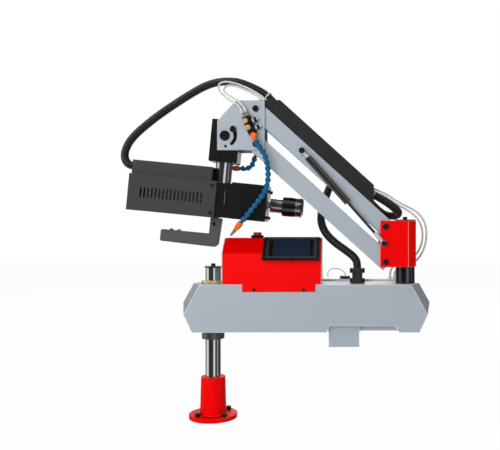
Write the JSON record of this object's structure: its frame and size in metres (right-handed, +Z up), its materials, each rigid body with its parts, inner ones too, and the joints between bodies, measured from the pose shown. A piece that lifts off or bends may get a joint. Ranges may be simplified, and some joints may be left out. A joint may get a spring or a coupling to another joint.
{
  "type": "arm tapping machine",
  "caption": "Bench tapping machine with a column, a swinging beam, a lifting parallel arm and a tilting motor head with a quick-change chuck.",
  "frame": {"origin": "centre of the foot flange's underside, on the column's axis", "axes": "+X along the beam towards its far end, +Y away from the side with the touch panel, +Z up"},
  "size_m": [0.9024, 0.2068, 0.9943],
  "materials": {
    "grey_paint": "satin light grey powder coat",
    "red_paint": "glossy red powder coat",
    "black_paint": "fine textured black powder coat",
    "black_casting": "black anodised",
    "motor_metal": "black finned case",
    "ground_steel": "ground and polished",
    "black_steel": "black oxide",
    "bronze": "turned bronze",
    "nickel": "nickel plated",
    "black_plastic": "fine matte",
    "grey_plastic": "dark grey grip",
    "screen_glass": "glossy dark screen",
    "red_plastic": "glossy",
    "green_plastic": "glossy",
    "blue_plastic": "semi-gloss blue hose beads",
    "orange_plastic": "semi-gloss orange",
    "white_plastic": "translucent white",
    "conduit_plastic": "ribbed black conduit",
    "clear_tube": "clear tube"
  },
  "bodies": {
    "pedestal": {"base_flange": "red_paint", "base_bolts": "black_steel", "column": "ground_steel", "column_cap": "ground_steel", "stop_collar": "black_steel"},
    "beam": {"beam_shell": "grey_paint", "column_bushes": "bronze", "post": "black_steel", "post_retainer": "ground_steel", "control_box": "red_paint", "control_box_back": "grey_paint", "control_box_screws": "black_steel", "touch_panel": "black_plastic", "touch_screen": "screen_glass", "drive_units": "motor_metal", "button_base": "bronze", "coolant_tank": "white_plastic", "cable_glands": "black_plastic", "conduit_lower": "conduit_plastic", "tubes_rear": "clear_tube"},
    "button": {"start_button": "red_plastic"},
    "filler_cap": {"tank_cap": "black_plastic"},
    "bracket": {"swivel_bracket": "red_paint", "bracket_pins": "black_steel", "post_bearings": "ground_steel"},
    "upper_link": {"upper_arm": "grey_paint", "upper_arm_bushes": "bronze", "cable_cover": "black_paint", "strut_upper_stud": "black_steel", "conduit_cover_end": "conduit_plastic", "shoulder_lines": "conduit_plastic"},
    "lower_link": {"lower_arm": "grey_paint", "lower_arm_bushes": "bronze"},
    "gas_rod": {"strut_rod": "ground_steel"},
    "gas_cylinder": {"strut_cylinder": "black_steel"},
    "head_carrier": {"head_plates": "grey_paint", "head_cross_bar": "grey_paint", "head_pins": "black_steel", "mist_valves": "bronze", "coolant_hoses": "blue_plastic", "hose_fittings": "orange_plastic", "conduit_head": "conduit_plastic", "tubes_front": "clear_tube"},
    "upper_knob": {"mist_knob_upper": "nickel"},
    "lower_knob": {"mist_knob_lower": "nickel"},
    "head": {"tilt_block": "black_casting", "head_shaft": "ground_steel", "clamp_block": "black_casting", "motor_cover": "black_paint", "cable_box": "black_paint", "servo_motor": "motor_metal", "gear_case": "black_casting", "spindle_bearings": "ground_steel", "handle": "grey_plastic", "head_screws": "black_steel"},
    "forward_trigger": {"grip_button_start": "green_plastic"},
    "reverse_trigger": {"grip_button_reverse": "red_plastic"},
    "spindle_shaft": {"spindle": "ground_steel", "chuck_body": "black_steel"},
    "quick_collar": {"chuck_collar": "black_steel"}
  },
  "joints": [
    {"name": "beam_swing", "type": "hinge", "parent": "pedestal", "child": "beam", "pos_m": [0, 0, 0.39], "axis": [0, 0, 1], "range_deg": [-180, 180]},
    {"name": "arm_swing", "type": "hinge", "parent": "beam", "child": "bracket", "pos_m": [0.5585, 0, 0.5], "axis": [0, 0, 1], "range_deg": [-170, 170], "deforming": ["conduit_lower", "tubes_rear"]},
    {"name": "arm_lift", "type": "hinge", "parent": "bracket", "child": "upper_link", "pos_m": [0.4986, 0, 0.5539], "axis": [0, 1, 0], "range_deg": [-4, 13], "deforming": ["shoulder_lines"]},
    {"name": "lower_arm_swing", "type": "hinge", "parent": "bracket", "child": "lower_link", "pos_m": [0.4986, 0, 0.4536], "axis": [0, 1, 0], "range_deg": [-5, 14]},
    {"name": "head_level", "type": "hinge", "parent": "upper_link", "child": "head_carrier", "pos_m": [0.1282, 0, 0.88976], "axis": [0, 1, 0], "range_deg": [-14, 5], "deforming": ["conduit_cover_end", "tubes_front"]},
    {"name": "strut_swing", "type": "hinge", "parent": "bracket", "child": "gas_rod", "pos_m": [0.4931, -0.057, 0.5065], "axis": [0, 1, 0], "range_deg": [-4, 13]},
    {"name": "strut_stroke", "type": "slide", "parent": "gas_rod", "child": "gas_cylinder", "axis": [-0.663, 0, 0.7486], "range_m": [-0.003, 0.008]},
    {"name": "head_tilt", "type": "hinge", "parent": "head_carrier", "child": "head", "pos_m": [0.0402, 0, 0.8134], "axis": [0, 1, 0], "range_deg": [0, 17], "deforming": ["conduit_head"]},
    {"name": "spindle_spin", "type": "hinge", "parent": "head", "child": "spindle_shaft", "pos_m": [0.11215, 0, 0.62162], "axis": [0.9954, 0, -0.0958], "continuous": true},
    {"name": "collar_slide", "type": "slide", "parent": "spindle_shaft", "child": "quick_collar", "axis": [-0.9954, 0, 0.0958], "range_m": [0, 0.005], "stiffness_N_per_m": 600, "springref_m": -0.006},
    {"name": "grip_start_press", "type": "slide", "parent": "head", "child": "forward_trigger", "axis": [-0.0958, 0, -0.9954], "range_m": [0, 0.0015], "stiffness_N_per_m": 800, "springref_m": -0.002},
    {"name": "grip_reverse_press", "type": "slide", "parent": "head", "child": "reverse_trigger", "axis": [-0.0958, 0, -0.9954], "range_m": [0, 0.0015], "stiffness_N_per_m": 800, "springref_m": -0.002},
    {"name": "start_press", "type": "slide", "parent": "beam", "child": "button", "axis": [0, 0, -1], "range_m": [0, 0.002], "stiffness_N_per_m": 800, "springref_m": -0.002},
    {"name": "upper_knob_turn", "type": "hinge", "parent": "head_carrier", "child": "upper_knob", "pos_m": [0.1028, -0.07, 0.85119], "axis": [0, -1, 0], "range_deg": [0, 270]},
    {"name": "lower_knob_turn", "type": "hinge", "parent": "head_carrier", "child": "lower_knob", "pos_m": [0.11043, -0.07, 0.8327], "axis": [0, -1, 0], "range_deg": [0, 270]},
    {"name": "tank_cap_turn", "type": "hinge", "parent": "beam", "child": "filler_cap", "pos_m": [0.385, 0.0885, 0.4], "axis": [0, 0, 1], "range_deg": [0, 180]}
  ],
  "couplings": [
    {"joint": "lower_arm_swing", "follows": "arm_lift", "ratio": 1},
    {"joint": "head_level", "follows": "arm_lift", "ratio": -1},
    {"joint": "strut_swing", "follows": "arm_lift", "ratio": 0.9025},
    {"joint": "strut_stroke", "follows": "arm_lift", "m_per_rad": 0.033}
  ]
}
